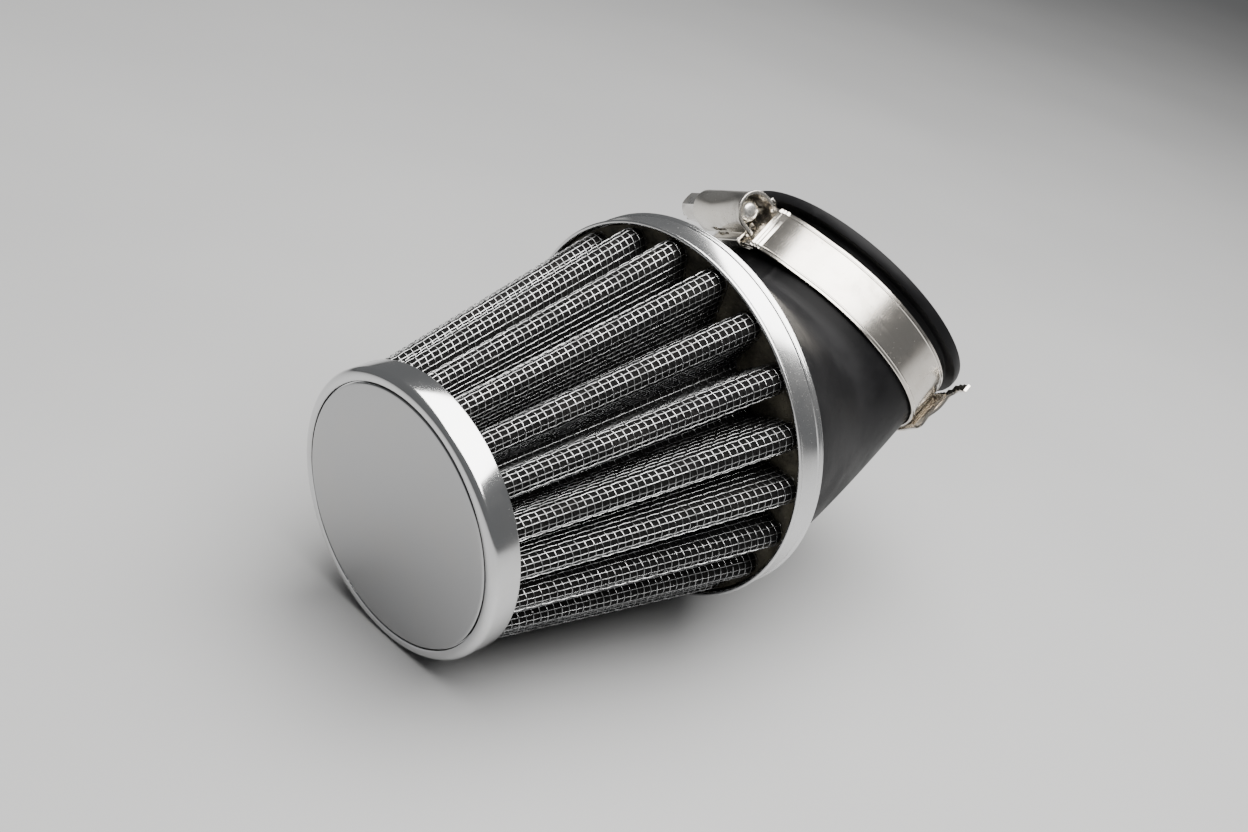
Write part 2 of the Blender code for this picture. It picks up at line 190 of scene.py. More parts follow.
def edit_marked(obj: bpy.types.Object, kind: str, marks: np.ndarray, action: Callable[[], object]) -> None:
    """Runs an edit-mode operator on chosen vertices or edges.

    Args:
        obj: The object to edit.
        kind: VERT or EDGE.
        marks: True for each vertex or edge to select.
        action: What to run on them.
    """
    with Editing(obj, kind):
        bpy.ops.mesh.select_all(action="DESELECT")
    items = obj.data.vertices if kind == "VERT" else obj.data.edges
    items.foreach_set("select", marks.astype(bool))
    pick(obj)
    bpy.ops.object.mode_set(mode="EDIT")
    action()
    bpy.ops.object.mode_set(mode="OBJECT")


def places(obj: bpy.types.Object) -> np.ndarray:
    """The places of an object's vertices, one row each."""
    points = np.empty(len(obj.data.vertices) * 3)
    obj.data.vertices.foreach_get("co", points)
    return points.reshape(-1, 3)


def chain(name: str, points: Sequence[Sequence[float]], closed: bool = False) -> bpy.types.Object:
    """A line of edges through points in millimetres, drawn out from one vertex.

    Args:
        name: The new object's name.
        points: The points in order.
        closed: Whether the line closes into a flat face.

    Returns:
        The new object.
    """
    bpy.ops.object.select_all(action="DESELECT")
    bpy.ops.mesh.primitive_plane_add(size=MM)
    obj = bpy.context.active_object
    obj.name = obj.data.name = name
    stops = [Vector(point) * MM for point in points]
    with Editing(obj):
        bpy.ops.mesh.merge(type="CENTER")
        bpy.ops.transform.translate(value=stops[0])
        for here, there in zip(stops, stops[1:]):
            bpy.ops.mesh.extrude_region_move(TRANSFORM_OT_translate={"value": there - here})
        if closed:
            bpy.ops.mesh.select_all(action="SELECT")
            bpy.ops.mesh.edge_face_add()
    return obj


def modify(obj: bpy.types.Object, kind: str, **settings: object) -> None:
    """Adds a modifier and applies it.

    Args:
        obj: The object to change.
        kind: The modifier's type.
        **settings: Its settings.
    """
    pick(obj)
    modifier = obj.modifiers.new(kind.lower(), kind)
    for key, value in settings.items():
        setattr(modifier, key, value)
    bpy.ops.object.modifier_apply(modifier=modifier.name)


def tidy(obj: bpy.types.Object, reach: float = 0.004) -> None:
    """Merges doubled vertices and turns the faces outwards.

    Args:
        obj: The object to tidy.
        reach: How near doubled vertices are, in millimetres.
    """
    with Editing(obj):
        bpy.ops.mesh.remove_doubles(threshold=reach * MM)
        bpy.ops.mesh.normals_make_consistent(inside=False)


def turned(name: str, profile: Sequence[tuple[float, float]], steps: int = 120) -> bpy.types.Object:
    """A piece turned about Z.

    Args:
        name: The new object's name.
        profile: Points of (radius, distance along the axis), in order.
        steps: How many sides it has.

    Returns:
        The new object.
    """
    obj = chain(name, [(radius, 0, along) for radius, along in profile])
    with Editing(obj):
        bpy.ops.mesh.spin(
            steps=steps, angle=2 * pi, center=(0, 0, 0), axis=(0, 0, 1), use_auto_merge=True
        )
    tidy(obj)
    return obj


def rounded(corner: tuple[float, float], radius: float, start: float, end: float, steps: int) -> list:
    """Points on an arc.

    Args:
        corner: The arc's centre.
        radius: Its radius.
        start: Its first angle in degrees.
        end: Its last.
        steps: How many parts it is divided in.

    Returns:
        The points.
    """
    angles = [radians(start + (end - start) * i / steps) for i in range(steps + 1)]
    return [(corner[0] + radius * cos(a), corner[1] + radius * sin(a)) for a in angles]


def box(name: str, low: Sequence[float], high: Sequence[float]) -> bpy.types.Object:
    """A block between two corners in millimetres, to cut with or to bevel.

    Args:
        name: The new object's name.
        low: Its lowest corner.
        high: Its highest corner.

    Returns:
        The new object.
    """
    low, high = Vector(low) * MM, Vector(high) * MM
    bpy.ops.object.select_all(action="DESELECT")
    bpy.ops.mesh.primitive_cube_add(size=1.0)
    obj = bpy.context.active_object
    obj.name = obj.data.name = name
    with Editing(obj):
        bpy.ops.transform.resize(value=high - low, center_override=(0, 0, 0))
        bpy.ops.transform.translate(value=(low + high) / 2)
    return obj


def settle(obj: bpy.types.Object, place: Matrix) -> None:
    """Puts a piece in its place and leaves its object at the origin."""
    obj.matrix_world = place
    pick(obj)
    bpy.ops.object.transform_apply(location=True, rotation=True, scale=True)


def copy_of(obj: bpy.types.Object, place: Matrix) -> bpy.types.Object:
    """A copy with a mesh of its own, moved to its place.

    Args:
        obj: The object to copy.
        place: Where the copy goes.

    Returns:
        The copy.
    """
    pick(obj)
    bpy.ops.object.duplicate(linked=False)
    twin = bpy.context.active_object
    settle(twin, place)
    return twin


def join(name: str, objs: Sequence[bpy.types.Object]) -> bpy.types.Object:
    """Several objects as one.

    Args:
        name: The joined object's name.
        objs: What to join.

    Returns:
        The joined object.
    """
    pick(*objs)
    bpy.ops.object.join()
    obj = bpy.context.active_object
    obj.name = obj.data.name = name
    return obj


def cut(target: bpy.types.Object, cutter: bpy.types.Object) -> None:
    """Takes the cutter's shape out of the target and removes the cutter."""
    modify(target, "BOOLEAN", operation="DIFFERENCE", solver="EXACT", object=cutter)
    bpy.data.objects.remove(cutter)


def soften(obj: bpy.types.Object, width: float, segments: int = 2, angle: float = 35.0) -> None:
    """Rounds a piece's sharp edges.

    Args:
        obj: The piece.
        width: The rounding's width in millimetres.
        segments: How many faces it has.
        angle: The least angle in degrees that counts as sharp.
    """
    modify(
        obj, "BEVEL", width=width * MM, segments=segments, limit_method="ANGLE", angle_limit=radians(angle)
    )


def smooth(obj: bpy.types.Object, angle: float = 35.0) -> None:
    """Shades a piece smooth, apart from edges sharper than angle in degrees."""
    pick(obj)
    bpy.ops.object.shade_smooth_by_angle(angle=radians(angle))


# ---- Shader arithmetic ----


class Value:
    """A number that changes over a surface. Arithmetic on it adds Math nodes."""

    def __init__(self, socket: bpy.types.NodeSocket) -> None:
        """Wraps the output that gives the number."""
        self.socket = socket

    def _math(self, operation: str, *terms: object) -> "Value":
        """Adds a Math node.

        Args:
            operation: What it does.
            *terms: Its numbers or values.

        Returns:
            Its output.
        """
        node = self.socket.id_data.nodes.new("ShaderNodeMath")
        node.operation = operation
        for slot, term in zip(node.inputs, terms):
            if isinstance(term, Value):
                node.id_data.links.new(term.socket, slot)
            else:
                slot.default_value = term
        return Value(node.outputs[0])

    def __add__(self, other: object) -> "Value":
        """self + other."""
        return self._math("ADD", self, other)

    def __mul__(self, other: object) -> "Value":
        """self * other."""
        return self._math("MULTIPLY", self, other)

    def __rsub__(self, other: object) -> "Value":
        """other - self."""
        return self._math("SUBTRACT", other, self)

    __radd__ = __add__
    __rmul__ = __mul__


class Paint:
    """A material under construction, with its Principled shader."""

    def __init__(self, name: str, place: Matrix) -> None:
        """Starts a material.

        Args:
            name: The material's name.
            place: The frame that its patterns lie in.
        """
        self.material = bpy.data.materials.new(name)
        self.material.use_nodes = True
        self.tree = self.material.node_tree
        self.shader = self.tree.nodes["Principled BSDF"]
        coordinates = self.tree.nodes.new("ShaderNodeTexCoord")
        self.where = self.add(
            "ShaderNodeMapping",
            {"vector_type": "TEXTURE"},
            {
                "Vector": coordinates.outputs["Object"],
                "Location": place.translation,
                "Rotation": place.to_euler(),
            },
        )

    def add(self, kind: str, settings: dict, inputs: dict, output: int | str = 0) -> bpy.types.NodeSocket:
        """Adds any node.

        Args:
            kind: The node's type.
            settings: Its own settings, set first. "stops" gives a ramp's (place, grey or colour).
            inputs: The values or links of its sockets, by name or number.
            output: Which output to give.

        Returns:
            That output.
        """
        node = self.tree.nodes.new(kind)
        for key, setting in settings.items():
            if key == "stops":
                self._ramp(node.color_ramp, setting)
            else:
                setattr(node, key, setting)
        for key, given in inputs.items():
            given = given.socket if isinstance(given, Value) else given
            if isinstance(given, bpy.types.NodeSocket):
                self.tree.links.new(given, node.inputs[key])
            else:
                node.inputs[key].default_value = given
        return node.outputs[output]

    def _ramp(self, ramp: bpy.types.ColorRamp, stops: Sequence[tuple[float, object]]) -> None:
        """Sets a colour ramp's stops."""
        for i, (place, shade) in enumerate(stops):
            stop = ramp.elements[i] if i < 2 else ramp.elements.new(place)
            stop.position = place
            stop.color = (shade, shade, shade, 1) if isinstance(shade, float) else (*shade, 1)

    def stretched(self, scale: Sequence[float]) -> bpy.types.NodeSocket:
        """The pattern's coordinates, scaled along each axis."""
        return self.add("ShaderNodeVectorMath", {"operation": "MULTIPLY"}, {0: self.where, 1: scale})

    def noise(self, scale: float, detail: float = 4.0, rough: float = 0.55, where: object = None) -> Value:
        """A soft random pattern.

        Args:
            scale: Waves in a metre.
            detail: How many finer layers it has.
            rough: How strong they are.
            where: Its coordinates, or None for the piece's own.

        Returns:
            The pattern, about 0.3 to 0.7.
        """
        inputs = {"Vector": where or self.where, "Scale": scale, "Detail": detail, "Roughness": rough}
        return Value(self.add("ShaderNodeTexNoise", {}, inputs, "Fac"))

    def ramp(self, value: Value, low: float, high: float) -> Value:
        """A value that goes from 0 to 1 as the given one goes from low to high."""
        settings = {"interpolation_type": "SMOOTHSTEP"}
        return Value(self.add("ShaderNodeMapRange", settings, {"Value": value, 1: low, 2: high}))

    def blend(self, amount: Value, first: Sequence[float], second: object) -> bpy.types.NodeSocket:
        """A mix of two colours.

        Args:
            amount: How much of the second.
            first: A colour or a link to one.
            second: A colour or a link to one.

        Returns:
            The mixed colour.
        """
        inputs = {"Factor": amount, 6: self._colour(first), 7: self._colour(second)}
        return self.add("ShaderNodeMix", {"data_type": "RGBA"}, inputs, 2)

    def _colour(self, given: object) -> object:
        """A colour with its fourth number, or the link that was given."""
        return given if isinstance(given, bpy.types.NodeSocket) else (*given, 1.0)

    def bump(self, height: Value, depth: float, strength: float = 1.0, under: object = None) -> object:
        """A bump for the Normal socket.

        Args:
            height: The pattern.
            depth: Its depth in millimetres.
            strength: How much of it shows.
            under: A bump that it lies on.

        Returns:
            The link to give to Normal.
        """
        inputs = {"Height": height, "Distance": depth * MM, "Strength": strength}
        if under is not None:
            inputs["Normal"] = under
        return self.add("ShaderNodeBump", {}, inputs)

    def finish(self, **sockets: object) -> bpy.types.Material:
        """Sets the shader's sockets.

        Args:
            **sockets: Values or links, by the socket's name with _ for a space.

        Returns:
            The material.
        """
        for key, given in sockets.items():
            slot = self.shader.inputs[key.replace("_", " ")]
            given = given.socket if isinstance(given, Value) else given
            if isinstance(given, bpy.types.NodeSocket):
                self.tree.links.new(given, slot)
            else:
                slot.default_value = given
        return self.material


# ---- Finishes ----


@dataclass(frozen=True)
class Plating:
    """Bright chrome plate, with polishing haze, small dust marks and slight waves."""

    name: str
    place: Matrix
    tint: Colour = (0.7, 0.705, 0.71)
    stain: Colour = (0.5, 0.48, 0.45)
    gloss: float = 0.045
    haze: float = 0.07
    wave: float = 0.02
    wave_scale: float = 55.0
    lines: float = 0.0004

    def material(self) -> bpy.types.Material:
        """Makes the material."""
        paint = Paint(self.name, self.place)
        patches = paint.ramp(paint.noise(70.0, 5.0, 0.6), 0.42, 0.68)
        specks = paint.ramp(paint.noise(2600.0, 2.0, 0.6), 0.62, 0.74)
        lines = paint.noise(1.0, 3.0, 0.6, paint.stretched(Brushing.ROUND.value))
        colour = paint.blend(patches * 0.22 + specks * 0.3, self.tint, self.stain)
        waves = paint.bump(paint.noise(self.wave_scale, 1.5, 0.4), self.wave)
        normal = paint.bump(lines, self.lines, 1.0, waves)
        rough = patches * self.haze + lines * 0.03 + specks * 0.12 + self.gloss
        return paint.finish(Base_Color=colour, Roughness=rough, Metallic=1.0, Normal=normal)


@dataclass(frozen=True)
class Strip:
    """Polished stainless strip: fine rolling lines, faint warm stains and rubbed marks."""

    name: str
    place: Matrix
    brushing: Brushing = Brushing.ROUND
    tint: Colour = (0.74, 0.7, 0.64)
    stain: Colour = (0.44, 0.38, 0.32)
    gloss: float = 0.13

    def material(self) -> bpy.types.Material:
        """Makes the material."""
        paint = Paint(self.name, self.place)
        lines = paint.noise(1.0, 4.0, 0.65, paint.stretched(self.brushing.value))
        stains = paint.ramp(paint.noise(160.0, 5.0, 0.62), 0.45, 0.72)
        rubs = paint.ramp(paint.noise(1500.0, 3.0, 0.6), 0.6, 0.75)
        colour = paint.blend(stains * 0.3 + rubs * 0.2, self.tint, self.stain)
        waves = paint.bump(paint.noise(90.0, 2.0, 0.5), 0.02)
        normal = paint.bump(lines, 0.002, 1.0, waves)
        rough = stains * 0.08 + lines * 0.12 + rubs * 0.1 + self.gloss
        return paint.finish(Base_Color=colour, Roughness=rough, Metallic=1.0, Normal=normal)


@dataclass(frozen=True)
class Wire:
    """Drawn wire, dulled unevenly."""

    name: str
    place: Matrix
    tint: Colour = (0.44, 0.445, 0.45)
    dull: Colour = (0.13, 0.13, 0.13)
    gloss: float = 0.16

    def material(self) -> bpy.types.Material:
        """Makes the material."""
        paint = Paint(self.name, self.place)
        tarnish = paint.ramp(paint.noise(220.0, 5.0, 0.65), 0.42, 0.7)
        grain = paint.noise(6000.0, 2.0, 0.6)
        colour = paint.blend(tarnish * 0.75, self.tint, self.dull)
        rough = tarnish * 0.25 + grain * 0.12 + self.gloss
        normal = paint.bump(grain, 0.006)
        return paint.finish(Base_Color=colour, Roughness=rough, Metallic=1.0, Normal=normal)


@dataclass(frozen=True)
class Cloth:
    """Oiled filter cloth: a fine plain weave that drinks the light."""

    name: str
    place: Matrix
    thread: Colour = (0.006, 0.006, 0.006)
    dust: Colour = (0.018, 0.017, 0.016)
    weave_scale: float = 2600.0

    def material(self) -> bpy.types.Material:
        """Makes the material."""
        paint = Paint(self.name, self.place)
        wave = {"wave_type": "BANDS", "wave_profile": "SIN"}
        size = {"Vector": paint.where, "Scale": self.weave_scale / 6, "Distortion": 0.6}
        warp = Value(paint.add("ShaderNodeTexWave", {**wave, "bands_direction": "Z"}, size, "Fac"))
        weft = Value(paint.add("ShaderNodeTexWave", {**wave, "bands_direction": "DIAGONAL"}, size, "Fac"))
        fluff = paint.noise(self.weave_scale, 3.0, 0.7)
        dusty = paint.ramp(paint.noise(90.0, 5.0, 0.6), 0.45, 0.75)
        colour = paint.blend(dusty * fluff, self.thread, self.dust)
        normal = paint.bump(warp * weft + fluff * 0.6, 0.12)
        rough = fluff * 0.2 + 0.75
        return paint.finish(Base_Color=colour, Roughness=rough, Normal=normal, Specular_IOR_Level=0.08)


@dataclass(frozen=True)
class Resin:
    """Casting resin: matt, mottled olive, with small pits."""

    name: str
    place: Matrix
    light: Colour = (0.12, 0.11, 0.08)
    dark: Colour = (0.04, 0.037, 0.028)

    def material(self) -> bpy.types.Material:
        """Makes the material."""
        paint = Paint(self.name, self.place)
        mottle = paint.ramp(paint.noise(180.0, 6.0, 0.65), 0.36, 0.66)
        pits = paint.ramp(paint.noise(1100.0, 3.0, 0.6), 0.3, 0.5)
        colour = paint.blend(mottle, self.light, self.dark)
        normal = paint.bump(mottle * 0.7 + pits * 0.5, 0.25)
        return paint.finish(Base_Color=colour, Roughness=0.75 - pits * 0.2, Normal=normal)


@dataclass(frozen=True)
class Rubber:
    """Satin black moulded rubber: fine grain, dusty bloom and handling scuffs."""

    name: str
    place: Matrix
    black: Colour = (0.006, 0.006, 0.0065)
    bloom: Colour = (0.015, 0.015, 0.016)
    gloss: float = 0.34

    def material(self) -> bpy.types.Material:
        """Makes the material."""
        paint = Paint(self.name, self.place)
        grain = paint.noise(3800.0, 3.0, 0.6)
        cloud = paint.ramp(paint.noise(60.0, 5.0, 0.6), 0.4, 0.7)
        scuffs = paint.noise(1.0, 4.0, 0.7, paint.stretched((400.0, 900.0, 60.0)))
        scuffs = paint.ramp(scuffs, 0.62, 0.78)
        colour = paint.blend(cloud * 0.6 + scuffs * 0.4, self.black, self.bloom)
        under = paint.bump(paint.noise(120.0, 2.0, 0.5), 0.1)
        normal = paint.bump(grain, 0.025, 1.0, under)
        rough = cloud * 0.14 + grain * 0.1 + scuffs * 0.15 + self.gloss
        return paint.finish(Base_Color=colour, Roughness=rough, Normal=normal, Specular_IOR_Level=0.07)


@dataclass(frozen=True)
class PaleFloor:
    """A plain pale studio floor."""

    name: str
    tint: Colour = (0.27, 0.272, 0.276)

    def material(self) -> bpy.types.Material:
        """Makes the material."""
        paint = Paint(self.name, Matrix.Identity(4))
        cloud = paint.ramp(paint.noise(6.0, 3.0, 0.5), 0.3, 0.7)
        colour = paint.blend(cloud * 0.08, self.tint, (0.5, 0.5, 0.5))
        return paint.finish(Base_Color=colour, Roughness=0.5)


def deliver(
    obj: bpy.types.Object,
    place: Matrix,
    body: Body,
    material: bpy.types.Material,
    nodes: Sequence[str] = (),
) -> None:
    """Puts a finished piece in its place, dresses it and gives it to its body.

    Args:
        obj: The piece, in its own frame.
        place: That frame.
        body: The body it rides on.
        material: Its finish.
        nodes: The CAD nodes it stands for.
    """
    settle(obj, place)
    obj.data.materials.clear()
    obj.data.materials.append(material)
    for polygon in obj.data.polygons:
        polygon.material_index = 0
    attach(obj, body.value)
    if nodes:
        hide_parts(*nodes)
    obj.data.calc_loop_triangles()
    log.info("%s: %d triangles", obj.name, len(obj.data.loop_triangles))


# ---- Cap ----


@dataclass
class Cap:
    """The chromed cap, the mirror disc set in its face, and the resin cast inside it."""

    radius: float = 27.95
    depth: float = 6.4
    wall: float = 0.8
    shoulder: float = 1.6
    disc_radius: float = 25.3
    recess: float = 25.6
    recess_floor: float = 0.7
    disc_thickness: float = 0.4
    resin_radius: float = 26.9

    def build(self) -> None:
        """Builds and dresses the pieces."""
        self._shell()
        self._disc()
        self._resin()

    def _shell(self) -> None:
        """The pressed cap, with a recess for the disc and a rolled rim."""
        inner = self.radius - self.wall
        rim = self.wall / 2
        profile = [
            (0.0, self.recess_floor),
            (self.recess - 0.1, self.recess_floor),
            (self.recess, self.recess_floor - 0.1),
            (self.recess, 0.32),
            (self.recess + 0.05, 0.2),
            (self.recess + 0.2, 0.1),
            *rounded((self.radius - self.shoulder, self.shoulder + 0.02), self.shoulder, -90, 0, 10),
            *rounded((self.radius - rim, self.depth - rim), rim, 0, 180, 8),
            (inner, self.recess_floor + self.wall),
            (0.0, self.recess_floor + self.wall),
        ]
        cap = turned("cap_shell", profile)
        smooth(cap, 40)
        finish = Plating("cap_chrome", FILTER, gloss=0.1, wave=0.03, wave_scale=48.0)
        deliver(cap, FILTER, Body.FILTER, finish.material(), ["front_cap"])

    def _disc(self) -> None:
        """The mirror disc, its edge chamfered and faintly crowned."""
        edge = self.disc_radius
        profile = [
            (0.0, 0.0),
            (edge * 0.5, 0.0),
            (edge * 0.9, 0.006),
            (edge - 0.5, 0.012),
            (edge - 0.28, 0.03),
            (edge - 0.1, 0.12),
            (edge, 0.22),
            (edge, self.disc_thickness),
            (0.0, self.disc_thickness),
        ]
        disc = turned("cap_disc", profile)
        smooth(disc, 40)
        tint = (0.46, 0.465, 0.47)
        finish = Plating("plate_chrome", FILTER, tint=tint, gloss=0.06, haze=0.05, wave_scale=28.0)
        deliver(disc, FILTER, Body.FILTER, finish.material(), ["front_plate"])

    def _resin(self) -> None:
        """The resin in the cap, which climbs a little at its edge."""
        low, high = 1.8, 5.0
        edge = self.resin_radius
        flat = high - 0.5
        profile = [
            (0.0, low), (edge, low), (edge, high), (edge - 0.6, high - 0.35), (edge - 2, flat), (0.0, flat)
        ]
        resin = turned("cap_resin", profile, steps=72)
        smooth(resin)
        finish = Resin("cap_resin", FILTER).material()
        deliver(resin, FILTER, Body.FILTER, finish, ["front_potting"])


# ---- Pleated pack ----


@dataclass(frozen=True)
class PackEnd:
    """The pack's outline at one end."""

    along: float
    outermost: float
    ridge: float
    valley_centre: float
    valley: float


@dataclass
class Pack:
    """The pleated pack: two woven screens with cloth between them."""

    narrow: PackEnd = PackEnd(5.3, 26.75, 2.5, 19.2, 0.5)
    wide: PackEnd = PackEnd(67.0, 38.7, 3.1, 28.0, 0.9)
    pleats: int = 20
    first_pleat: float = 14.3
    groups: int = 4
    cells: int = 19
    rows: int = 40
    wire_radius: float = 0.075
    weave: float = 0.07
    screen_depth: float = 0.17
    cloth_depth: float = 0.65
    cloth_thickness: float = 0.8
    cloth_columns: int = 32
    cloth_rows: int = 10
    inner_depth: float = 1.95
    inner_cells: int = 14
    inner_rows: int = 26
    arc_steps: int = 24

    def outline(self, end: PackEnd, depth: float, parts: int) -> list[Vector]:
        """One pleat's outline, from valley to valley, evenly divided.

        Args:
            end: Which end of the pack.
            depth: How far it lies under the outer face.
            parts: How many parts it is divided in.

        Returns:
            The points in millimetres, for a pleat whose ridge is on +X.
        """
        half_pitch = pi / self.pleats
        ridge_centre = end.outermost - end.ridge
        valley_x = end.valley_centre * cos(half_pitch)
        valley_y = end.valley_centre * sin(half_pitch)
        across = Vector((valley_x - ridge_centre, valley_y))
        flank = atan2(across.y, across.x) - acos((end.ridge + end.valley) / across.length)
        half = []
        for i in range(self.arc_steps + 1):
            angle = flank * i / self.arc_steps
            reach = end.ridge - depth
            half.append((ridge_centre + reach * cos(angle), reach * sin(angle)))
        for i in range(self.arc_steps + 1):
            angle = flank + pi + (half_pitch - flank) * i / self.arc_steps
            reach = end.valley + depth
            half.append((valley_x + reach * cos(angle), valley_y + reach * sin(angle)))
        full = np.array([(x, -y) for x, y in reversed(half[1:])] + half)
        runs = np.concatenate([[0], np.cumsum(np.linalg.norm(np.diff(full, axis=0), axis=1))])
        stops = np.linspace(0, runs[-1], parts + 1)
        return [
            Vector((np.interp(s, runs, full[:, 0]), np.interp(s, runs, full[:, 1]), end.along)) for s in stops
        ]

    def sheet(self, name: str, depth: float, parts: int, rows: int) -> bpy.types.Object:
        """One pleat as a grid of faces, with each vertex's column kept in an attribute.

        Args:
            name: The new object's name.
            depth: How far it lies under the pack's outer face.
            parts: How many columns of faces it has.
            rows: How many rows.

        Returns:
            The new object.
        """
        ends = []
        for end in (self.narrow, self.wide):
            points = self.outline(end, depth, parts)
            line = chain(name, points)
            marks = line.data.attributes.new("column", "FLOAT", "POINT")
            stops = np.array([point * MM for point in points])
            gaps = np.linalg.norm(places(line)[:, None] - stops[None], axis=2)
            marks.data.foreach_set("value", gaps.argmin(axis=1).astype(np.float32))
            ends.append(line)
        grid = join(name, ends)
        with Editing(grid, "EDGE"):
            bpy.ops.mesh.bridge_edge_loops(number_cuts=rows - 1, interpolation="LINEAR")
        return grid

    def _grid_marks(self, grid: bpy.types.Object, rows: int) -> tuple[np.ndarray, np.ndarray]:
        """Each vertex's column and row in a pleat's grid.

        Args:
            grid: The pleat's sheet.
            rows: How many rows of faces it has.

        Returns:
            The columns and the rows.
        """
        columns = np.empty(len(grid.data.vertices), dtype=np.float32)
        grid.data.attributes["column"].data.foreach_get("value", columns)
        low, high = self.narrow.along * MM, self.wide.along * MM
        row = np.rint((places(grid)[:, 2] - low) / (high - low) * rows).astype(int)
        return np.rint(columns).astype(int), row

    def _wires(self, sheet: bpy.types.Object, lengthwise: bool, rows: int, sides: int) -> bpy.types.Object:
        """The wires that run one way through a pleat, woven over and under the others.

        Args:
            sheet: The pleat's grid, which is left as it was.
            lengthwise: True for the wires from the cap to the ring.
            rows: How many rows of faces the grid has.
            sides: 1 for six-sided wires, 0 for four-sided ones.

        Returns:
            The wires as a mesh.
        """
        wires = copy_of(sheet, Matrix.Identity(4))
        column, row = self._grid_marks(wires, rows)
        crossing = column % 2 == 0
        over = ((row + column // 2) % 2 == 0) == lengthwise
        for marks, lift in ((crossing & over, self.weave), (crossing & ~over, -self.weave)):
            edit_marked(
                wires, "VERT", marks, lambda amount=lift: bpy.ops.transform.shrink_fatten(value=amount * MM)
            )
        pairs = np.empty(len(wires.data.edges) * 2, dtype=np.int32)
        wires.data.edges.foreach_get("vertices", pairs)
        first, second = pairs.reshape(-1, 2).T
        if lengthwise:
            odd = (column[first] % 2 == 1) | (column[first] == column.max())
            extra = (column[first] != column[second]) | odd
        else:
            extra = row[first] != row[second]
        edit_marked(wires, "EDGE", extra, lambda: bpy.ops.mesh.delete(type="EDGE"))
        pick(wires)
        bpy.ops.object.convert(target="CURVE")
        wires = bpy.context.active_object
        wires.data.bevel_depth = self.wire_radius * MM
        wires.data.bevel_resolution = sides
        wires.data.use_fill_caps = True
        bpy.ops.object.convert(target="MESH")
        return bpy.context.active_object

    def _screen(self, depth: float, cells: int, rows: int, sides: int) -> bpy.types.Object:
        """One pleat of woven screen.

        Args:
            depth: How far it lies under the pack's outer face.
            cells: How many meshes it has from valley to valley.
            rows: How many from the cap to the ring.
            sides: 1 for six-sided wires, 0 for four-sided ones.

        Returns:
            The pleat, with its ridge on +X.
        """
        sheet = self.sheet("pleat", depth, cells * 2, rows)
        wires = [self._wires(sheet, lengthwise, rows, sides) for lengthwise in (True, False)]
        bpy.data.objects.remove(sheet)
        return join("pleat", wires)

    def _repeat(self, pleat: bpy.types.Object, name: str, pleats: range) -> bpy.types.Object:
        """Copies of a pleat round the axis, as one piece.

        Args:
            pleat: The pleat with its ridge on +X.
            name: The piece's name.
            pleats: Which of the pleats to make.

        Returns:
            The piece.
        """
        pitch = 2 * pi / self.pleats
        turns = [Matrix.Rotation(radians(self.first_pleat) + pitch * i, 4, "Z") for i in pleats]
        return join(name, [copy_of(pleat, turn) for turn in turns])

    def build(self) -> None:
        """Builds and dresses the pieces."""
        self._outer_screen()
        self._cloth()
        self._inner_screen()
        seam = frame["nodes"]["pack_seam"]
        seam.data.materials.clear()
        seam.data.materials.append(Strip("seam_strip", FILTER, Brushing.ROUND, gloss=0.3).material())

    def _outer_screen(self) -> None:
        """The outer screen, in groups of neighbouring pleats."""
        pleat = self._screen(self.screen_depth, self.cells, self.rows, 1)
        finish = Wire("screen_wire", FILTER).material()
        count = self.pleats // self.groups
        for group in range(self.groups):
            nodes = ["outer_screen"] if group == 0 else []
            pleats = range(group * count, (group + 1) * count)
            piece = self._repeat(pleat, f"outer_screen_{group + 1}", pleats)
            smooth(piece, 60)
            deliver(piece, FILTER, Body.FILTER, finish, nodes)
        bpy.data.objects.remove(pleat)

    def _cloth(self) -> None:
        """The pleated cloth."""
        pleat = self.sheet("pleat", self.cloth_depth, self.cloth_columns, self.cloth_rows)
        cloth = self._repeat(pleat, "filter_cloth", range(self.pleats))
        bpy.data.objects.remove(pleat)
        tidy(cloth, 0.01)
        centre = places(cloth)[:, :2].mean(axis=0)
        face = cloth.data.polygons[0]
        outward = Vector((*(np.array(face.center[:2]) - centre), 0)).dot(face.normal)
        modify(cloth, "SOLIDIFY", thickness=self.cloth_thickness * MM, offset=-1.0 if outward > 0 else 1.0)
        tidy(cloth, 0.001)
        smooth(cloth, 60)
        finish = Cloth("filter_cloth", FILTER).material()
        deliver(cloth, FILTER, Body.FILTER, finish, ["filter_media"])

    def _inner_screen(self) -> None:
        """The inner screen, in lighter wires."""
        pleat = self._screen(self.inner_depth, self.inner_cells, self.inner_rows, 0)
        piece = self._repeat(pleat, "inner_screen_wires", range(self.pleats))
        bpy.data.objects.remove(pleat)
        smooth(piece, 60)
        finish = Wire("inner_screen_wire", FILTER, tint=(0.6, 0.6, 0.6), gloss=0.3).material()
        deliver(piece, FILTER, Body.FILTER, finish, ["inner_screen"])


# ---- Ring ----


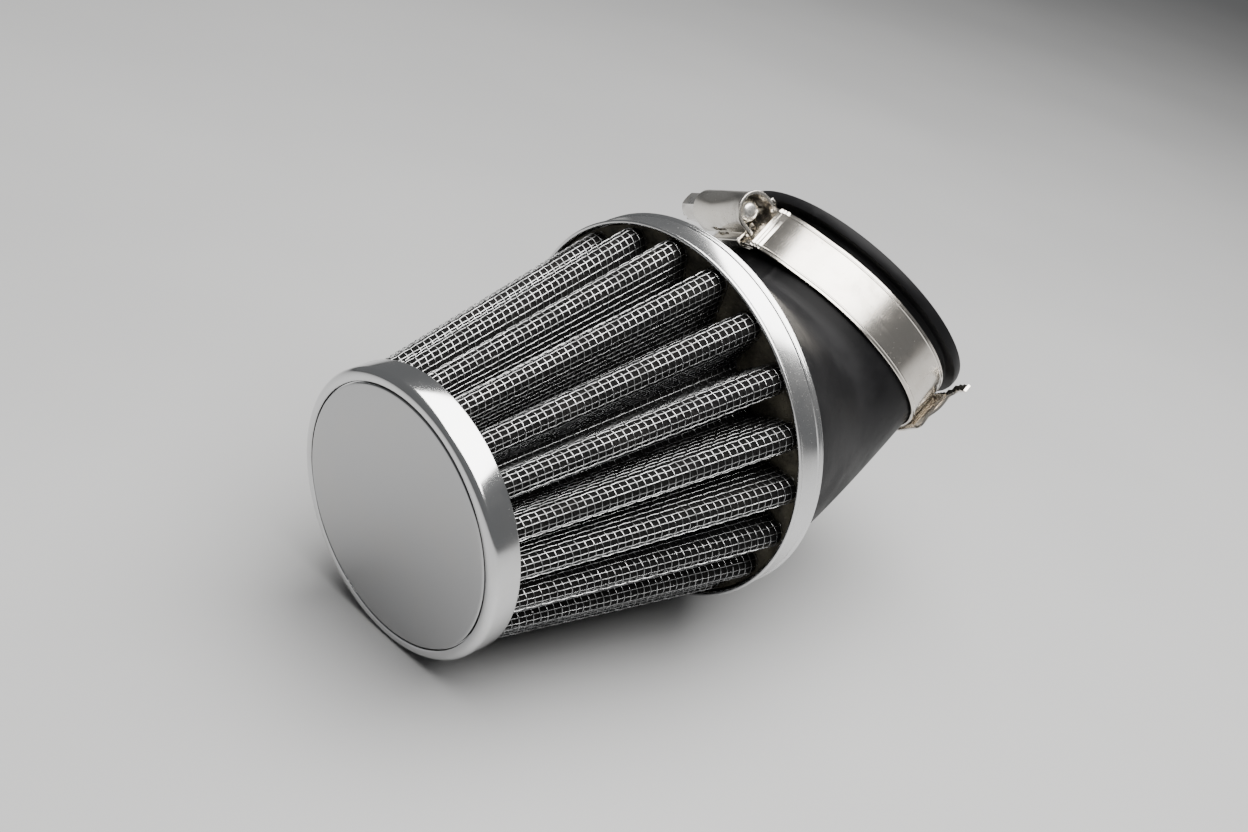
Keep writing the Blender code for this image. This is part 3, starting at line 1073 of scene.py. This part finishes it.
@dataclass
class Ring:
    """The chromed ring round the pack's wide end, and the resin cast inside it."""

    front: float = 65.3
    width: float = 6.9
    radius: float = 39.92
    wall: float = 0.9
    lip: float = 0.45
    lip_height: float = 0.3
    flange_inner: float = 37.9
    flange_thickness: float = 0.7

    def build(self) -> None:
        """Builds and dresses the pieces."""
        back = self.front + self.width
        body = self.radius - self.lip_height
        inner = self.radius - self.wall
        profile = [
            (inner, self.front + self.lip),
            *rounded((self.radius - self.lip, self.front + self.lip), self.lip, 180, 360, 8),
            (self.radius - 0.06, self.front + self.lip + 0.25),
            (body + 0.04, self.front + self.lip * 2 + 0.05),
            (body, self.front + self.lip * 2 + 0.3),
            (body, back - 1.9),
            (body + 0.05, back - 1.65),
            *rounded((self.radius - 0.22, back - 1.35), 0.22, -60, 60, 4),
            (body + 0.02, back - 1.0),
            (body + 0.02, back - 0.92),
            *rounded((self.radius - 0.4, back - 0.4), 0.4, -35, 90, 6),
            (self.flange_inner, back),
            (self.flange_inner, back - self.flange_thickness),
            (inner, back - self.flange_thickness),
            (inner, self.front + self.lip),
        ]
        ring = turned("ring_shell", profile, steps=144)
        smooth(ring, 40)
        finish = Plating("ring_chrome", FILTER, gloss=0.16, wave=0.03, wave_scale=40.0)
        deliver(ring, FILTER, Body.FILTER, finish.material(), ["rear_ring"])
        self._resin(inner - 0.3)

    def _resin(self, edge: float) -> None:
        """The resin, which climbs a little at the ring's wall."""
        low, high, inner = 67.3, 69.3, 24.8
        profile = [
            (inner, low), (edge - 2.5, low), (edge - 0.8, low - 0.25), (edge, low - 0.9), (edge, high),
            (inner, high), (inner, low),
        ]
        resin = turned("ring_resin", profile, steps=96)
        smooth(resin)
        finish = Resin("ring_resin", FILTER).material()
        deliver(resin, FILTER, Body.FILTER, finish, ["rear_potting"])


# ---- Rubber neck ----


@dataclass
class Neck:
    """The angled rubber neck, with its flange in the ring and a bead at its mouth."""

    bend: float = 36.15
    middle_y: float = 3.22
    middle_z: float = 113.26
    flange_radius: float = 38.8
    flange_front: float = 69.6
    flange_back: float = 71.2
    root: float = 72.4
    root_radius: float = 37.6
    root_bore: float = 33.5
    radius: float = 28.0
    bore: float = 25.0
    collar_start: float = -2.5
    bead_start: float = 12.3
    bead_radius: float = 30.5
    mouth: float = 14.9
    lean: float = 0.7
    leave_pull: float = 0.9
    arrive_pull: float = 0.75
    sides: int = 112
    elbow_steps: int = 20
    line_width: float = 0.35
    line_height: float = 0.12

    def _round(self, radius: float, along: float) -> tuple[Vector, Vector, Vector]:
        """A circle round the neck's axis: its points on the bend's side, beside and opposite."""
        tilt = radians(self.bend)
        axis = Vector((0, sin(tilt), cos(tilt)))
        outwards = Vector((0, cos(tilt), -sin(tilt)))
        centre = Vector((0, self.middle_y, self.middle_z)) + axis * along
        return centre + outwards * radius, centre + Vector((radius, 0, 0)), centre - outwards * radius

    def _root_round(self, radius: float, along: float) -> tuple[Vector, Vector, Vector]:
        """The same for a circle round the cone's axis."""
        return Vector((0, radius, along)), Vector((radius, 0, along)), Vector((0, -radius, along))

    def _elbow(self, start_radius: float, end_radius: float) -> list[tuple[Vector, Vector, Vector]]:
        """The rings between the ring and the collar, ends included.

        Args:
            start_radius: The radius at the ring.
            end_radius: The radius at the collar.

        Returns:
            The three points of each ring.
        """
        tilt = radians(self.bend)
        arrive = Vector((0, sin(tilt), cos(tilt)))
        starts = self._root_round(start_radius, self.root)
        ends = self._round(end_radius, self.collar_start)
        rings = []
        for step in range(self.elbow_steps + 1):
            t = step / self.elbow_steps
            ring = []
            for start, end in zip(starts, ends):
                chord = end - start
                leaving = Vector((0, 0, 1)).lerp(chord.normalized(), self.lean).normalized()
                ring.append(
                    start * (2 * t**3 - 3 * t**2 + 1)
                    + leaving * chord.length * self.leave_pull * (t**3 - 2 * t**2 + t)
                    + end * (3 * t**2 - 2 * t**3)
                    + arrive * chord.length * self.arrive_pull * (t**3 - t**2)
                )
            rings.append(tuple(ring))
        return rings

    def _rings(self) -> list[tuple[Vector, Vector, Vector]]:
        """All of the neck's rings, from the flange's bore round its outside and back."""
        bead, mouth, outer = self.bead_start, self.mouth, self.bead_radius
        profile = [
            (self.radius, 3.0), (self.radius, 8.0), (self.radius, bead - 0.5),
            (self.radius + 0.15, bead - 0.25), (self.radius + 0.5, bead - 0.08), (outer - 0.6, bead),
            (outer - 0.15, bead + 0.2), (outer, bead + 0.6), (outer, mouth - 0.9), (outer - 0.2, mouth - 0.3),
            (outer - 0.7, mouth), (self.bore + 0.6, mouth), (self.bore + 0.15, mouth - 0.15),
            (self.bore, mouth - 0.6), (self.bore, 6.0),
        ]
        edge = 0.15
        return [
            self._root_round(self.root_bore, self.flange_front),
            self._root_round(self.flange_radius - edge, self.flange_front),
            self._root_round(self.flange_radius, self.flange_front + edge),
            self._root_round(self.flange_radius, self.flange_back - edge),
            self._root_round(self.flange_radius - edge, self.flange_back),
            self._root_round(self.root_radius + edge, self.flange_back),
            self._root_round(self.root_radius, self.flange_back + edge),
            *self._elbow(self.root_radius, self.radius),
            *(self._round(radius, along) for radius, along in profile),
            *reversed(self._elbow(self.root_bore, self.bore)),
        ]

    def build(self) -> None:
        """Builds and dresses the neck."""
        rings = self._rings()
        first_radius = (rings[0][0] - rings[0][2]).length / 2
        centre = (rings[0][0] + rings[0][2]) / 2
        bpy.ops.object.select_all(action="DESELECT")
        bpy.ops.mesh.primitive_circle_add(vertices=self.sides, radius=first_radius * MM, location=centre * MM)
        neck = bpy.context.active_object
        neck.name = neck.data.name = "neck_tube"
        bpy.ops.object.transform_apply(location=True)
        with Editing(neck):
            for here, there in zip(rings, rings[1:]):
                self._draw_out(here, there)
            self._close()
        tidy(neck)
        self._moulding_line(neck)
        smooth(neck, 40)
        finish = Rubber("neck_rubber", FILTER).material()
        deliver(neck, FILTER, Body.FILTER, finish, ["rubber_neck"])

    def _draw_out(self, here: Sequence[Vector], there: Sequence[Vector]) -> None:
        """Extrudes the ring at its end to the next ring's place, size and tilt.

        Args:
            here: The three points of the selected ring.
            there: The three points of the next.
        """
        centre, goal = (here[0] + here[2]) / 2, (there[0] + there[2]) / 2
        across, next_across = here[0] - here[2], there[0] - there[2]
        tilt = atan2(next_across.z, next_across.y) - atan2(across.z, across.y)
        height = next_across.length / across.length
        width = there[1].x / here[1].x
        bpy.ops.mesh.extrude_region_move(TRANSFORM_OT_translate={"value": (goal - centre) * MM})
        pivot = goal * MM
        bpy.ops.transform.resize(value=(width, height, height), center_override=pivot)
        if abs(tilt) > 1e-6:
            bpy.ops.transform.rotate(value=-tilt, orient_axis="X", center_override=pivot)

    def _close(self) -> None:
        """Joins the last ring of the bore to the first."""
        bpy.ops.mesh.select_all(action="DESELECT")
        bpy.ops.mesh.select_mode(type="EDGE")
        bpy.ops.mesh.select_non_manifold(extend=False)
        bpy.ops.mesh.bridge_edge_loops()

    def _moulding_line(self, neck: bpy.types.Object) -> None:
        """Raises the fine line that the mould's halves leave along the neck."""
        spots = places(neck) / MM
        radius_from_axis = np.hypot(spots[:, 0], spots[:, 1])
        outside = (spots[:, 2] > self.root + 1) & (np.abs(spots[:, 0]) < 0.01) & (radius_from_axis > 1)
        tilt = radians(self.bend)
        offset = spots - np.array((0, self.middle_y, self.middle_z))
        along = offset @ np.array((0, sin(tilt), cos(tilt)))
        reach = np.abs(offset @ np.array((0, cos(tilt), -sin(tilt))))
        pairs = np.empty(len(neck.data.edges) * 2, dtype=np.int32)
        neck.data.edges.foreach_get("vertices", pairs)
        first, second = pairs.reshape(-1, 2).T
        skin = outside & (reach > self.bore + 1.5) & (along < self.mouth - 1)
        marks = skin[first] & skin[second]

        def raise_line() -> None:
            """Narrows the line and lifts its middle."""
            bpy.ops.mesh.bevel(offset=self.line_width * MM, segments=2, profile=0.5)
            bpy.ops.mesh.select_less()
            bpy.ops.transform.shrink_fatten(value=self.line_height * MM)

        edit_marked(neck, "EDGE", marks, raise_line)


# ---- Hose clamp ----


def ease(value: float, start: float, end: float) -> float:
    """0 at start, 1 at end, and an even S between them."""
    t = min(max((value - start) / (end - start), 0.0), 1.0)
    return t * t * (3 - 2 * t)


def stations(start: float, step: float, count: int) -> list[float]:
    """Evenly spaced angles in degrees."""
    return [start + step * i for i in range(count)]


@dataclass
class Clamp:
    """The worm-drive hose clamp: band, saddle, housing, screw and slotted tail."""

    width: float = BAND_WIDTH
    thickness: float = 0.6
    band_inner: float = 28.3
    saddle_inner: float = 29.2
    saddle_thickness: float = 0.5
    raised: float = 30.0
    folds: tuple[float, ...] = (-373.2, -371.4, -369.6)
    fold_height: float = 0.5
    fold_spread: float = 0.55
    rise_from: float = -345.0
    rise_to: float = -371.0
    drop_from: float = -62.0
    drop_to: float = -74.0
    flare_from: float = -232.0
    flare: float = 4.6
    ribs_from: float = -205.0
    rib_height: float = 0.5
    rib_pitch: float = 2.7
    tip_from: float = -243.0
    tip_taper: float = 7.0
    tip_narrowing: float = 0.84
    tail_end: float = -256.0
    tip_side: float = 1.25
    slots: int = 25
    slot_first: float = -80.0
    slot_lean: float = 6.0
    lead: float = 2.5
    housing_radius: float = 4.3
    housing_wall: float = 0.7
    housing_start: float = -10.8
    housing_end: float = 7.4
    foot: float = -2.9
    foot_bottom: float = -4.7

    def band_radius(self, angle: float) -> float:
        """The band's inner radius at an angle in degrees."""
        lift = (self.raised - self.band_inner) * ease(angle, self.rise_from, self.rise_to)
        folds = sum(exp(-(((angle - place) / self.fold_spread) ** 2)) for place in self.folds)
        return self.band_inner + lift + self.fold_height * folds

    def tail_radius(self, angle: float) -> float:
        """The tail's inner radius at an angle in degrees."""
        drop = (self.raised - self.saddle_inner) * ease(angle, self.drop_from, self.drop_to)
        flare = max(0.0, (self.flare_from - angle) / (self.flare_from - self.tail_end))
        wave = abs(sin(pi * (angle - self.ribs_from) / self.rib_pitch))
        ribs = self.rib_height * (angle < self.ribs_from) * wave
        return self.raised - drop + self.flare * flare**2 + ribs

    def tail_width(self, angle: float) -> float:
        """The tail's width at an angle in degrees, as a share of its full width."""
        return 1 - self.tip_narrowing * ease(angle, self.tip_from, self.tip_from - self.tip_taper)

    def _section(self, inner: float, thickness: float, width: float, ribs: float) -> list:
        """A strip's section, with rounded edges and a fine raised line near each edge.

        Args:
            inner: Its inner radius.
            thickness: Its thickness.
            width: Its width.
            ribs: The height of the raised lines, or 0.

        Returns:
            The points, for a strip that starts on +X.
        """
        low = (self.width - width) / 2
        high = low + width
        outer = inner + thickness
        edge = 0.14
        half = [(inner, low + edge), (inner + edge, low), (outer - edge, low), (outer, low + edge)]
        if ribs:
            raised = outer + ribs
            half += [(outer, low + 0.6), (raised, low + 0.75), (raised, low + 0.9), (outer, low + 1.05)]
        mirrored = [(radius, low + high - along) for radius, along in reversed(half)]
        return [(radius, 0, along) for radius, along in half + mirrored]

    def _strip(
        self,
        name: str,
        angles: Sequence[float],
        radius_at: Callable[[float], float],
        section: list,
        width_at: Callable[[float], float] = lambda _: 1.0,
    ) -> bpy.types.Object:
        """A strip bent round the neck.

        Args:
            name: The new object's name.
            angles: Its stations in degrees.
            radius_at: Its inner radius at an angle.
            section: Its section at the first station, on +X.
            width_at: Its share of the full width at an angle.

        Returns:
            The new object.
        """
        middle = (0, 0, self.tip_side * self.width * MM)
        strip = chain(name, section, closed=True)
        with Editing(strip):
            bpy.ops.transform.rotate(
                value=-radians(angles[0]), orient_axis="Z", center_override=(0, 0, 0)
            )
            for here, there in zip(angles, angles[1:]):
                bpy.ops.mesh.extrude_region_move(TRANSFORM_OT_translate={"value": (0, 0, 0)})
                bpy.ops.transform.rotate(
                    value=-radians(there - here), orient_axis="Z", center_override=(0, 0, 0)
                )
                outwards = Vector((cos(radians(there)), sin(radians(there)), 0))
                step = radius_at(there) - radius_at(here)
                bpy.ops.transform.translate(value=outwards * step * MM)
                narrowing = width_at(there) / width_at(here)
                if narrowing != 1:
                    bpy.ops.transform.resize(value=(1, 1, narrowing), center_override=middle)
        tidy(strip)
        return strip

    def build(self) -> None:
        """Builds and dresses the pieces."""
        steel = Strip("clamp_steel", NECK).material()
        self._band(steel)
        self._saddle(steel)
        self._tail(steel)
        self._housing()
        self._screw()

    def _band(self, steel: bpy.types.Material) -> None:
        """The band, with folds where it leaves the housing."""
        angles = stations(-16.0, -4.0, 82) + stations(-343.0, -2.0, 13)
        angles += stations(-368.2, -0.25, 27) + stations(-376.0, -1.4, 6)
        section = self._section(self.band_inner, self.thickness, self.width, 0.1)
        band = self._strip("clamp_strip", angles, self.band_radius, section)
        smooth(band, 30)
        deliver(band, NECK, Body.CLAMP, steel, ["clamp_band"])

    def _saddle(self, steel: bpy.types.Material) -> None:
        """The plate under the housing."""
        angles = stations(-52.0, 3.0, 14)
        section = self._section(self.saddle_inner, self.saddle_thickness, self.width + 0.1, 0.0)
        saddle = self._strip("clamp_plate", angles, lambda _: self.saddle_inner, section)
        smooth(saddle, 30)
        deliver(saddle, NECK, Body.CLAMP, steel, ["clamp_saddle"])

    def _tail(self, steel: bpy.types.Material) -> None:
        """The free end, with the slots that the worm drives."""
        angles = stations(-34.0, -3.0, 57) + stations(self.ribs_from, -0.3, 171)
        section = self._section(self.raised, self.thickness, self.width, 0.0)
        tail = self._strip("clamp_free_end", angles, self.tail_radius, section, self.tail_width)
        pitch = self.lead / (self.saddle_inner + self.thickness / 2)
        place = (self.tail_radius(self.slot_first), 0, self.width / 2)
        slot = box("slot", (-2, -0.6, -3.3), (2, 0.6, 3.3))
        soften(slot, 0.25, 1, 60)
        slant = Matrix.Translation(Vector(place) * MM) @ Matrix.Rotation(radians(self.slot_lean), 4, "X")
        turns = [Matrix.Rotation(radians(self.slot_first) - pitch * i, 4, "Z") for i in range(self.slots)]
        cutters = join("slots", [copy_of(slot, turn @ slant) for turn in turns])
        bpy.data.objects.remove(slot)
        cut(tail, cutters)
        smooth(tail, 30)
        deliver(tail, NECK, Body.TAIL, steel, ["clamp_tail"])

    def _housing(self) -> None:
        """The pressed tunnel over the screw, with a rim at its open end and two gripping feet."""
        middle = self.housing_radius - self.housing_wall / 2
        start = self.housing_start
        points = [(start, -middle, self.foot), (start, -middle, self.foot / 2)]
        points += [(start, y, z) for y, z in rounded((0, 0), middle, 180, 0, 24)]
        points += [(start, middle, self.foot / 2), (start, middle, self.foot)]
        tunnel = chain("housing", points)
        rim, end = 1.06, self.housing_end
        stations = [(-4.0, 1.0), (end - 1.3, 1.0), (end - 0.9, rim), (end, rim)]
        shrink = 1 / rim
        with Editing(tunnel):
            bpy.ops.transform.resize(value=(1, shrink, shrink), center_override=(0, 0, 0))
            here, size = start, 1.0
            for x, scale in stations:
                ratio, step = scale / size, ((x - here) * MM, 0, 0)
                bpy.ops.mesh.extrude_region_move(TRANSFORM_OT_translate={"value": step})
                bpy.ops.transform.resize(value=(1, ratio, ratio), center_override=(0, 0, 0))
                here, size = x, scale
        tidy(tunnel)
        modify(tunnel, "SOLIDIFY", thickness=self.housing_wall * MM, offset=0.0)
        notch = box("notch", (-5.6, -8, -2.2), (-1.2, -3, -1.3))
        cut(tunnel, notch)
        feet = [self._foot(side) for side in (-1, 1)]
        housing = join("worm_housing", [tunnel, *feet])
        tidy(housing, 0.002)
        soften(housing, 0.16, 2, 40)
        smooth(housing, 35)
        finish = Strip("housing_steel", HEAD, Brushing.LENGTHWISE, tint=(0.78, 0.75, 0.69), gloss=0.15)
        deliver(housing, HEAD, Body.CLAMP, finish.material(), ["clamp_housing"])

    def _foot(self, side: int) -> bpy.types.Object:
        """One foot of the housing, which grips the edges of the saddle and the band.

        Args:
            side: -1 for the cone's side, 1 for the mouth's.

        Returns:
            The new object.
        """
        wall = self.housing_radius - self.housing_wall / 2
        grip, outside, top = 5.75, 6.35, self.foot + 0.6
        section = [
            (wall, self.foot), (grip, self.foot), (grip, self.foot_bottom), (outside, self.foot_bottom),
            (outside, top - 0.2), (outside - 0.2, top), (wall, top),
        ]
        foot = chain("foot", [(-4.5, side * y, z) for y, z in section], closed=True)
        with Editing(foot):
            bpy.ops.mesh.extrude_region_move(TRANSFORM_OT_translate={"value": (9.0 * MM, 0, 0)})
        tidy(foot)
        return foot

    def _screw(self) -> None:
        """The worm screw: slotted hexagon, collar, worm and domed tip."""
        start, end, core, collar = -11.8, 6.0, 2.3, 3.2
        profile = [
            (0.0, start + 0.1), (collar - 0.1, start + 0.1), (collar, start + 0.3), (collar, -9.2),
            (collar - 0.2, -9.0), (core, -8.8), (core, 3.9), *rounded((core - 1.4, 4.3), 1.4, 0, 80, 8),
            (0.0, end - 0.25),
        ]
        body = turned("core", profile, steps=40)
        worm = self._worm(core)
        upright = Matrix.Rotation(pi / 2, 4, "Y")
        settle(body, upright)
        settle(worm, upright)
        screw = join("worm_screw", [self._hexagon(), body, worm])
        soften(screw, 0.1, 2, 50)
        smooth(screw, 35)
        finish = Strip("screw_steel", HEAD, Brushing.NONE, tint=(0.8, 0.79, 0.76), gloss=0.2)
        deliver(screw, HEAD, Body.SCREW, finish.material(), ["clamp_screw"])

    def _worm(self, core: float) -> bpy.types.Object:
        """The worm's thread, sunk a little in the core.

        Args:
            core: The core's radius.

        Returns:
            The new object, about Z.
        """
        begin, turns = -8.6, 4
        profile = [(core - 0.2, 0), (core - 0.2, 1.3), (2.85, 0.85), (2.85, 0.45)]
        thread = chain("thread", [(radius, 0, begin + along) for radius, along in profile], closed=True)
        with Editing(thread, "FACE"):
            bpy.ops.mesh.delete(type="ONLY_FACE")
        steps = {"steps": 28, "render_steps": 28}
        modify(thread, "SCREW", screw_offset=self.lead * MM, iterations=turns, axis="Z", **steps)
        with Editing(thread):
            bpy.ops.mesh.fill_holes(sides=0)
        tidy(thread)
        return thread

    def _hexagon(self) -> bpy.types.Object:
        """The slotted hexagon head, with its corners chamfered."""
        start, end, flats = -17.3, -11.8, 5.8
        bpy.ops.object.select_all(action="DESELECT")
        radius = flats / 2 / cos(pi / 6) * MM
        bpy.ops.mesh.primitive_cylinder_add(
            vertices=6, radius=radius, depth=(end - start) * MM, location=(0, 0, (start + end) / 2 * MM)
        )
        head = bpy.context.active_object
        bpy.ops.object.transform_apply(location=True)
        profile = [
            (2.5, start - 1), (2.5, start), (3.0, start + 0.3), (3.6, start + 0.9), (6, start + 0.9),
            (6, start - 1), (2.5, start - 1),
        ]
        cut(head, turned("chamfer", profile, steps=40))
        cut(head, box("driver_slot", (-0.5, -6, start - 1), (0.5, 6, start + 1.6)))
        settle(head, Matrix.Rotation(pi / 2, 4, "Y"))
        return head


# ---- Studio ----


@dataclass
class Studio:
    """The floor, soft light and camera."""

    floor_size: float = 60.0
    camera_place: tuple[float, float, float] = (-192.6, 189.2, -160.2)
    camera_aim: tuple[float, float, float] = (1.0, 1.0, 58.4)
    camera_roll: float = 9.4
    lens: float = 49.85
    lamp_towards: tuple[float, float, float] = (-0.15, 0.85, 0.28)
    lamp_distance: float = 0.62
    lamp_size: tuple[float, float] = (1.0, 0.8)
    lamp_power: float = 27.0
    lamp_colour: Colour = (1.0, 0.985, 0.96)
    surround: Colour = (0.97, 0.985, 1.0)
    surround_strength: float = 0.17

    def build(self) -> None:
        """Sets out the studio."""
        self._floor()
        self._world()
        self._lamp()
        self._camera()

    def _floor(self) -> None:
        """The pale floor that the filter lies on."""
        bpy.ops.object.select_all(action="DESELECT")
        bpy.ops.mesh.primitive_plane_add(size=self.floor_size)
        floor = bpy.context.active_object
        floor.name = floor.data.name = "studio_floor"
        floor.data.materials.append(PaleFloor("studio_floor").material())

    def _world(self) -> None:
        """An even grey surround."""
        world = bpy.data.worlds.new("studio")
        world.use_nodes = True
        background = world.node_tree.nodes["Background"]
        background.inputs["Color"].default_value = (*self.surround, 1.0)
        background.inputs["Strength"].default_value = self.surround_strength
        bpy.context.scene.world = world

    def _lamp(self) -> None:
        """One large soft light over the filter, placed in the filter frame and facing its middle."""
        light = bpy.data.lights.new("key", "AREA")
        light.shape = "RECTANGLE"
        light.size, light.size_y = self.lamp_size
        light.energy = self.lamp_power
        light.color = self.lamp_colour
        lamp = bpy.data.objects.new("key", light)
        bpy.context.scene.collection.objects.link(lamp)
        towards = FILTER.to_3x3() @ Vector(self.lamp_towards).normalized()
        middle = FILTER @ Vector((0, 0, 0.05))
        turn = towards.to_track_quat("Z", "Y").to_matrix().to_4x4()
        lamp.matrix_world = Matrix.Translation(middle + towards * self.lamp_distance) @ turn

    def _camera(self) -> None:
        """The camera, placed and aimed in the filter frame, then rolled about its view."""
        data = bpy.data.cameras.new("camera")
        data.lens = self.lens
        data.sensor_width = 36.0
        data.clip_start = 0.01
        data.clip_end = 50.0
        camera = bpy.data.objects.new("camera", data)
        bpy.context.scene.collection.objects.link(camera)
        place = Vector(self.camera_place)
        forward = (Vector(self.camera_aim) - place).normalized()
        level = forward.cross(Vector((0, 1, 0))).normalized()
        above = level.cross(forward)
        roll = radians(self.camera_roll)
        right = level * cos(roll) + above * sin(roll)
        up = above * cos(roll) - level * sin(roll)
        turn = Matrix((right, up, -forward)).transposed().to_4x4()
        camera.matrix_world = FILTER @ Matrix.Translation(place * MM) @ turn
        bpy.context.scene.camera = camera


def main() -> None:
    """Builds the filter and its studio."""
    logging.basicConfig(level=logging.INFO, format="%(name)s: %(message)s")
    for part in (Cap(), Pack(), Ring(), Neck(), Clamp(), Studio()):
        log.info("building %s", type(part).__name__)
        part.build()


if __name__ == "__main__":
    main()
